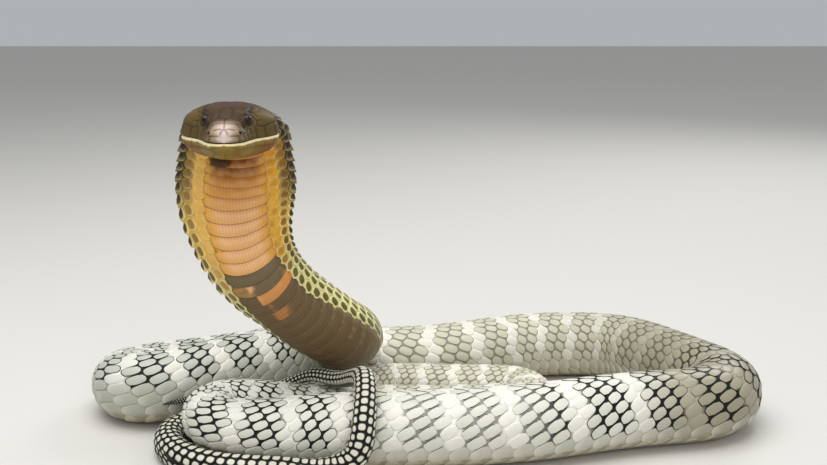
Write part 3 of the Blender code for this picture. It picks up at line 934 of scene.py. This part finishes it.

    # the head: olive chin, a cream edge on the lower lip, brown crown and cheeks, darkest in the
    # seams, with painted shade on the crown, under the brows, in the eye sockets, nostrils and
    # mouth's line, and a painted highlight, pale to pinkish white, on the snout
    frayed_lip = shifted(m.lip, noises["mottle"], 2.6)
    not_nape = fall(down, -22, -14)
    chin = mixed("#7E6426", [
        ("#937A38", mottle, 0.5),
        ("#7A4E1E", step(down, -56, -36)),
        ("#A08C50", step(m.lip, -6, -3), 0.4),
    ])
    # the crown's own brown, darkened further as painted shade
    crown = mixed("#3E2810", [
        ("#5E401A", mottle, 0.6),
        ("#33261A", cloud, 0.5),
        ("#625228", step(m.crown, 14, 24), 0.6),
        # a dark line back from each eye along a seam, darkened as the brow ridge's painted shadow
        ("#1A120A", within(m.crown, 14, 15.5, 17, 18.5), step(down, -52, -49),
         fall(down, -38, -31), 0.7),
        # painted highlight: the snout paler, pinkish white on its top and front
        ("#8C755A", fall(down, -72, -60), 0.5),
        ("#B09A84", fall(down, -72, -60), fall(m.crown, 4, 17), 0.7),
        ("#E2CCC6", fall(down, -75, -62), fall(m.crown, 0, 9), 0.75),
    ])
    face = mixed(chin, [
        (crown, step(m.lip, 0.2, 0.9)),
        ("#241809", m.seam, step(m.lip, -1.0, 0.6), 0.55),
        ("#4A3A18", m.seam, fall(m.lip, -4, -1.5), 0.35),
        ("#F0E2AE", step(frayed_lip, -1.3, -0.4), fall(m.lip, 0.1, 0.5), not_nape, 0.95),
        # painted shade: the dark mouth's line, in the groove between the lips
        ("#20170E", within(m.lip, -0.6, -0.2, 0.2, 0.6), not_nape),
        # painted shade: the nostril's hole dark
        ("#120D08", fall(m.nostril, 0.7, 1.4)),
        # painted shade: dark round the eye, darkest in its socket
        ("#20160C", fall(m.orbit, 3.2, 5.6), 0.7),
        ("#0E0A06", fall(m.orbit, 2.6, 3.2)),
    ])

    colour = mixed(trunk, [
        (hood, m.hood),
        (tail, m.tail),
        (face, fall(down, -8, 2)),
    ])
    tree.links.new(colour, shader.inputs["Base Color"])

    rough = add_node(tree, "MapRange", {0: noises["mottle"], 1: 0.3, 2: 0.7, 3: roughness - 0.07,
                                        4: roughness + 0.09}).outputs[0]
    tree.links.new(rough, shader.inputs["Roughness"])
    bumps = shifted(noises["mottle"], noises["grain"], 0.35)
    bump = add_node(tree, "Bump", {"Height": bumps, "Strength": 0.22, "Distance": 0.0006})
    tree.links.new(bump.outputs[0], shader.inputs["Normal"])
    shader.inputs["Specular IOR Level"].default_value = specular
    return material


skin_finish = snake_material("snake_skin_soft", *SKIN_SHINE)
scale_finish = snake_material("snake_scales_satin_keratin", *SCALE_SHINE)
skin.data.materials.append(skin_finish)


# The eyes. A snake has no lids: a clear scale covers a dark brown iris round a round pupil, in a
# low ring of small scales. Each eye sits in its socket with less than half of it showing.
PUPIL_EDGE = 0.42           # radians from the way the eye looks
IRIS_EDGE = 0.86

# The spectacle, keratin as clear as glass and always wet, gives a small sharp highlight.
eye_finish, eye_tree, eye_shader = new_material("eye_wet_spectacle")
gaze = add_node(eye_tree, "Attribute", {}, attribute_name="gaze").outputs["Fac"]
flecks = add_node(eye_tree, "TexNoise", {"Scale": 2600, "Detail": 3}).outputs["Fac"]
iris = add_node(eye_tree, "Mix", {0: flecks, 6: paint("#140B05"), 7: paint("#36200C")},
                data_type="RGBA").outputs[2]


def eye_ring(start, end, inside, outside):
    """One colour inside a ring round the way the eye looks, and another outside it."""
    ring = add_node(eye_tree, "MapRange", {0: gaze, 1: start, 2: end},
                    interpolation_type="SMOOTHSTEP").outputs[0]
    return add_node(eye_tree, "Mix", {0: ring, 6: inside, 7: outside},
                    data_type="RGBA").outputs[2]


with_pupil = eye_ring(PUPIL_EDGE - 0.03, PUPIL_EDGE + 0.03, paint("#050403"), iris)
eye_colour = eye_ring(IRIS_EDGE - 0.1, IRIS_EDGE + 0.05, with_pupil, paint("#0C0805"))
eye_tree.links.new(eye_colour, eye_shader.inputs["Base Color"])
eye_shader.inputs["Roughness"].default_value = 0.12
eye_shader.inputs["Specular IOR Level"].default_value = 0.3

for name, way in (("left", 1), ("right", -1)):
    mirror = np.array([way, 1, 1])
    centre = (HEAD_ORIGIN + HEAD_FRAME @ (EYE_AT * mirror)) * MM
    looks = Vector(HEAD_FRAME @ (EYE_FACES * mirror)).normalized()
    turn_to = looks.to_track_quat("Z", "Y").to_euler()
    bpy.ops.object.select_all(action="DESELECT")
    bpy.ops.mesh.primitive_uv_sphere_add(segments=48, ring_count=32, radius=EYE_RADIUS * MM,
                                         location=centre, rotation=turn_to)
    eye = bpy.context.object
    eye.name = f"eyeball_{name}"
    bpy.ops.object.transform_apply(location=True, rotation=True, scale=True)
    bpy.ops.object.shade_smooth()
    points = np.array([v.co for v in eye.data.vertices]) - centre
    cosine = points @ np.array(looks) / (EYE_RADIUS * MM)
    give(eye.data, {"gaze": np.arccos(cosine.clip(-1, 1))})
    eye.data.materials.append(eye_finish)
    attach(eye, "root")
    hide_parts(f"eye_{name}")


# The dorsal scales. Each is a thin plate of keratin, rooted at its front end and free at its
# back, with soft skin showing between it and the next. One shape with a few dozen faces is laid
# on each scale's place. Its outline is the cell that the slanting rows leave it.
SCALE_SIDES = 14
RIM_WIDE = 0.64             # mm, the sloped rim between the outline and the scale's flat middle
CORNER = 5.4                # how sharp the cell's corners are
REAR_DROP = 0.30            # how far a scale's rear end hangs down the side, in half widths
FRONT_STAND = 0.08          # mm, how high its rooted end stands above the skin
DOME = 0.28                 # mm, how far its middle swells
ROOT_DEPTH = 0.45           # mm, how deep its underside is sunk in the skin
FIT = 0.97                  # its size, as a share of its cell
REAR_STAND = 0.42           # mm, how high its free end stands above the skin
FRINGE_STAND = 2.3          # mm, how much further it stands along the hood's edge
UNEVEN = 0.02               # how much one scale differs from the next in size
SMALL = 7.0                 # mm, scales narrower than this lie flatter in step with their width
MAP_MARGIN = 12             # mm of the skin past a coat piece's ends that its unwrap shows
RIM_OF_LEVEL = np.array([1.0, 1.0, 0.45, 0.0])

ring_angle = (np.arange(SCALE_SIDES) + 0.5) / SCALE_SIDES * math.tau - math.pi
scale_angle = np.append(np.tile(ring_angle, 3), 0.0)
scale_level = np.append(np.repeat([0, 1, 2], SCALE_SIDES), 3)
scale_faces = []
for level in (0, 1):
    for k in range(SCALE_SIDES):
        follow = (k + 1) % SCALE_SIDES
        low = level * SCALE_SIDES
        scale_faces.append((low + k, low + follow, low + SCALE_SIDES + follow,
                            low + SCALE_SIDES + k))
top = 2 * SCALE_SIDES
for k in range(SCALE_SIDES):
    scale_faces.append((top + k, top + (k + 1) % SCALE_SIDES, 3 * SCALE_SIDES))
scale_faces.append(tuple(reversed(range(SCALE_SIDES))))


def cell(angle, ratio, corner):
    """The cell's outline in half lengths and half widths, as a radius for each angle, and how
    near each place is to the cell's ends rather than to its long sides. ratio is the scale's
    length over its width, and corner is less for rounder scales."""
    cosine, sine = np.cos(angle), np.sin(angle)
    reach = np.zeros(np.broadcast(angle, ratio).shape)
    long_side = reach.copy()
    ends = reach.copy()
    for x, y in ((1, 0), (COLUMN_LEAN - 0.5, 1), (COLUMN_LEAN + 0.5, 1)):
        near = np.abs(cosine * x * ratio ** 2 + sine * y) / ((x * ratio) ** 2 + y ** 2)
        reach += near ** corner
        if x == COLUMN_LEAN - 0.5:
            long_side = near
        else:
            ends = np.maximum(ends, near)
    return reach ** (-1 / corner), np.clip(0.5 + (ends - long_side) * 2.2, 0, 1)


def bake_places(s, turn, first, last):
    """Where each point lies on an unwrap of the skin between two distances from the nape: the
    body's tube cut along the belly, laid out in strips, as many as fill a square best. Each
    scale keeps its own footprint there and isn't shrunk to a dot, so that a bake is fine enough
    for its dark rim."""
    mid_girth = np.interp((first + last) / 2, grid_s, grid_girth)
    strips = max(1, round(math.sqrt((last - first) / mid_girth)))
    strip_length = (last - first) / strips
    strip = np.clip((s.mean(axis=1, keepdims=True) - first) // strip_length, 0, strips - 1)
    u = (s - first - strip * strip_length) / strip_length
    return (0.03 + 0.94 * u).clip(0.001, 0.999), (strip + 0.02 + 0.96 * turn) / strips


def laid_out(name, points, one, maps, values):
    """One piece of many alike shapes. one is the list of faces of a single shape."""
    count, size = points.shape[:2]
    faces = [tuple(size * i + k for k in face) for i in range(count) for face in one]
    corners = np.concatenate([np.array(face) for face in one])
    u, v = maps
    flat_maps = np.stack([u[:, corners], v[:, corners]], axis=-1)
    blank = {"plate": 0, "cross": 0, "seam": 0, "lip": -60, "crown": 60, "orbit": 60,
             "nostril": 60}
    spread = {}
    for label, value in {**blank, **values}.items():
        spread[label] = np.broadcast_to(value, (count, size))
    piece = finished_mesh(name, points.reshape(-1, 3), faces, flat_maps, spread)
    piece.data.materials.append(scale_finish)
    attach(piece, "root")


def lay_scales(name, chosen, first, last, fit, rear):
    """Joined scales on their places. fit is the scale's size for its cell, and rear how high its
    free end stands above the skin in mm."""
    s, turn, pitch, width, row = [values[:, None] for values in chosen.T]
    wobble = scale_random.uniform(-1, 1, (4, len(s), 1))
    down_side = np.where(turn < 0.5, -1, 1) * scale_angle
    down_side = np.where(row == MIDDLE_ROW, np.abs(scale_angle), down_side)
    values = markings(s, turn)
    trunk_low = values["low"] * (1 - values["hood"]) * (1 - values["tail"])
    reach, end = cell(down_side, pitch / width, CORNER - 1.2 * trunk_low)
    a, b = reach * np.cos(scale_angle), reach * np.sin(scale_angle)
    half_long = pitch / 2 * fit * (1 + UNEVEN * wobble[0])
    half_wide = width / 2 * fit * (1 + UNEVEN * wobble[1])
    rim = (RIM_WIDE - 0.1 * values["tail"] + 0.14 * values["hood"]) * (scale_level == 2)
    flat = scale_level < 3
    place_s = (s + a * (half_long - rim).clip(0.2 * half_long) * flat).clip(0.2, LENGTH)
    belly_way = np.where(row == MIDDLE_ROW, 0, np.sign(turn - 0.5)) * (1 - values["tail"])
    across = (b + REAR_DROP * belly_way * a) * (half_wide - rim).clip(0.2 * half_wide) * flat
    place_turn = turn + across / np.interp(s, grid_s, grid_girth)
    small = np.minimum(1.0, width / SMALL)
    stand = FRONT_STAND + (rear - FRONT_STAND) * ((a + 1) / 2).clip(0, 1) ** 1.5
    stand = stand + DOME * np.maximum(scale_level - 1, 0) / 2 + 0.05 * wobble[2]
    lift = np.where(scale_level == 0, -ROOT_DEPTH, stand * small)
    values.update({
        "rim": RIM_OF_LEVEL[scale_level],
        "end": end,
        "rear": a.clip(0, 1) ** 2 * RIM_OF_LEVEL[scale_level],
        "run": place_s,
        "tint": wobble[3] * 0.5 + 0.5,
    })
    laid_out(name, on_body(place_s, place_turn, lift), scale_faces,
             bake_places(place_s, place_turn, first, last), values)


scales = scale_places()
scale_random = np.random.default_rng(7)
HOOD_END = 265              # mm from the nape, where one piece of the coat ends
LEFT_END = 640
BACK_END = 1130
FRONT_END = 1560
TAIL_START = place_of["tail root"]
for name, first, last, slot in (
    ("coat_hood_neck", 3, HOOD_END, "hood_skin"),
    ("coat_trunk_left", HOOD_END, LEFT_END, "trunk_skin"),
    ("coat_trunk_back", LEFT_END, BACK_END, "trunk_skin"),
    ("coat_trunk_front", BACK_END, FRONT_END, "trunk_skin"),
    ("coat_trunk_inner", FRONT_END, TAIL_START, "trunk_skin"),
    ("coat_tail", TAIL_START, LENGTH - 4, "tail_skin"),
):
    chosen = scales[(scales[:, 0] >= first) & (scales[:, 0] < last)]
    place, up = chosen[:, :1], upness(chosen[:, 1:2])
    hooded = 1 - smooth(place, 180, 300)
    flank = smooth(up, 0.29, 0.38) * hooded
    lowest = markings(place, chosen[:, 1:2])["low"]
    fit = FIT - 0.03 * flank + 0.10 * lowest * (1 - hooded)
    fringe = (1 - smooth(place, 130, 210)) * np.exp(-((up - 0.5) / 0.13) ** 2)
    rear = REAR_STAND + FRINGE_STAND * fringe + 0.5 * lowest * (1 - hooded)
    lay_scales(name, chosen, first - MAP_MARGIN, last + MAP_MARGIN, fit, rear)


# The belly plates. Broad single plates cross the whole underside from the throat to the vent,
# and go on under the tail. Each overlaps the next one behind it with a curved free edge.
PLATE_COLUMNS = 11
PLATE_ROWS = (-1.0, 0.35, 0.86, 1.0)
PLATE_BOW = 0.42            # how far a plate's ends lie ahead of its middle, in scale lengths
PLATE_REACH = 0.58          # how far it reaches to the front and back, in scale lengths
PLATE_STAND = (0.10, 0.42)  # mm, how high its front stands, and how much more its free edge
PLATE_DEPTH = 0.4           # mm, how deep its underside is sunk in the skin
PLATE_WIDTH = 1.02          # its width, as a share of the belly's, so that it meets the scales
SMALL_PLATE = 8.0           # mm, plates shorter than this lie flatter in step with their length

level, a, b = np.meshgrid((1, 0), PLATE_ROWS, np.linspace(-1, 1, PLATE_COLUMNS), indexing="ij")
plate_template = np.stack([a, b, level], axis=-1).reshape(-1, 3)
layer_size = len(PLATE_ROWS) * PLATE_COLUMNS
plate_faces = []
for r in range(len(PLATE_ROWS) - 1):
    for c in range(PLATE_COLUMNS - 1):
        a = r * PLATE_COLUMNS + c
        quad = (a, a + 1, a + PLATE_COLUMNS + 1, a + PLATE_COLUMNS)
        plate_faces.append(quad)
        plate_faces.append(tuple(layer_size + k for k in reversed(quad)))
border = list(range(PLATE_COLUMNS))
border += [PLATE_COLUMNS * r + PLATE_COLUMNS - 1 for r in range(1, len(PLATE_ROWS))]
border += [layer_size - 1 - c for c in range(1, PLATE_COLUMNS)]
border += [PLATE_COLUMNS * r for r in range(len(PLATE_ROWS) - 2, 0, -1)]
for near, far in zip(border, border[1:] + border[:1]):
    plate_faces.append((far, near, layer_size + near, layer_size + far))


def lay_plates(name, first, last):
    """Joined plates across the belly, between two distances from the nape."""
    columns = np.arange(math.ceil(np.interp(first, grid_s, grid_count)),
                        np.interp(last, grid_s, grid_count))
    s = np.interp(columns, grid_count, grid_s)[:, None]
    pitch = np.interp(s, grid_s, grid_pitch)
    share = np.interp(s, grid_s, grid_belly)
    a, b, level = plate_template.T[:, None, :]
    wobble = scale_random.uniform(-1, 1, (2, len(s), 1))
    rounded = 1 - 0.3 * np.abs(b) ** 5
    down = np.where(a > 0, a * rounded, a) * pitch * PLATE_REACH - PLATE_BOW * pitch * b ** 2
    place_s = (s + down + UNEVEN * pitch * wobble[0]).clip(0.2, LENGTH)
    place_turn = b * share / 2 * PLATE_WIDTH
    small = np.minimum(1.0, pitch / SMALL_PLATE)
    lift = (PLATE_STAND[0] + PLATE_STAND[1] * (a + 1) / 2 - 0.10 * b ** 6) * small
    lift = np.where(level == 0, -PLATE_DEPTH, lift)
    values = markings(s, np.zeros(s.shape))
    values.update({
        "sway": np.sin(place_turn * math.tau),
        "rim": np.where(a > 0.9, 1.0, np.where(a < -0.9, 0.6, 0.0)),
        "end": 1,
        "rear": (a + 1) / 2,
        "run": place_s,
        "tint": wobble[1] * 0.5 + 0.5,
        "plate": 1,
        "cross": place_turn * np.interp(s, grid_s, grid_girth),
    })
    laid_out(name, on_body(place_s, place_turn, lift), plate_faces,
             bake_places(place_s, place_turn + 0.5, first - MAP_MARGIN, last + MAP_MARGIN),
             values)


for name, first, last, slot in (
    ("belly_plates_hood_neck", 6, HOOD_END, "hood_skin"),
    ("belly_plates_trunk_outer", HOOD_END, BACK_END, "trunk_skin"),
    ("belly_plates_trunk_inner", BACK_END, TAIL_START, "trunk_skin"),
    ("belly_plates_tail", TAIL_START, LENGTH - 6, "tail_skin"),
):
    lay_plates(name, first, last)


# The floor, the lights and the camera. A plain pale studio floor, a wide soft light overhead
# with a weaker one from the front, and the camera at the photo's height and angle.
bpy.ops.object.select_all(action="DESELECT")
bpy.ops.mesh.primitive_plane_add(size=9, location=(0, 2, -0.0004))
floor = bpy.context.object
floor.name = "floor"
# Matt paper, which takes soft shadows and gives no highlight.
floor_finish, _, floor_shader = new_material("floor_pale_paper")
floor_shader.inputs["Base Color"].default_value = paint("#CFCCC6")
floor_shader.inputs["Roughness"].default_value = 0.85
floor.data.materials.append(floor_finish)
floor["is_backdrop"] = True

for name, place, aim, size, watts in (
    ("overhead", (-0.25, -0.25, 1.7), (0, 0, 0), 1.6, 30),
    ("front", (0.5, -1.9, 1.1), (-0.05, 0, 0.1), 1.2, 11),
    ("rim", (0.9, 1.5, 1.2), (0, 0, 0.1), 0.8, 9),
):
    light = bpy.data.lights.new(name, "AREA")
    light.size = size
    light.energy = watts
    lamp = bpy.data.objects.new(name, light)
    lamp.location = place
    lamp.rotation_euler = (Vector(aim) - Vector(place)).to_track_quat("-Z", "Y").to_euler()
    bpy.context.scene.collection.objects.link(lamp)
world = bpy.data.worlds.new("studio")
world.use_nodes = True
sky = world.node_tree.nodes["Background"]
sky.inputs["Color"].default_value = paint("#E4E8EC")
sky.inputs["Strength"].default_value = 0.55
bpy.context.scene.world = world

camera = bpy.data.objects.new("camera", bpy.data.cameras.new("camera"))
camera.data.lens = 50
camera.data.sensor_width = 36
camera.location = (-0.0078, -0.92263, 0.361)
camera.rotation_euler = (math.radians(78), 0, 0)
bpy.context.scene.collection.objects.link(camera)
bpy.context.scene.camera = camera
bpy.context.scene.view_settings.view_transform = "Standard"

low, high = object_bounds()
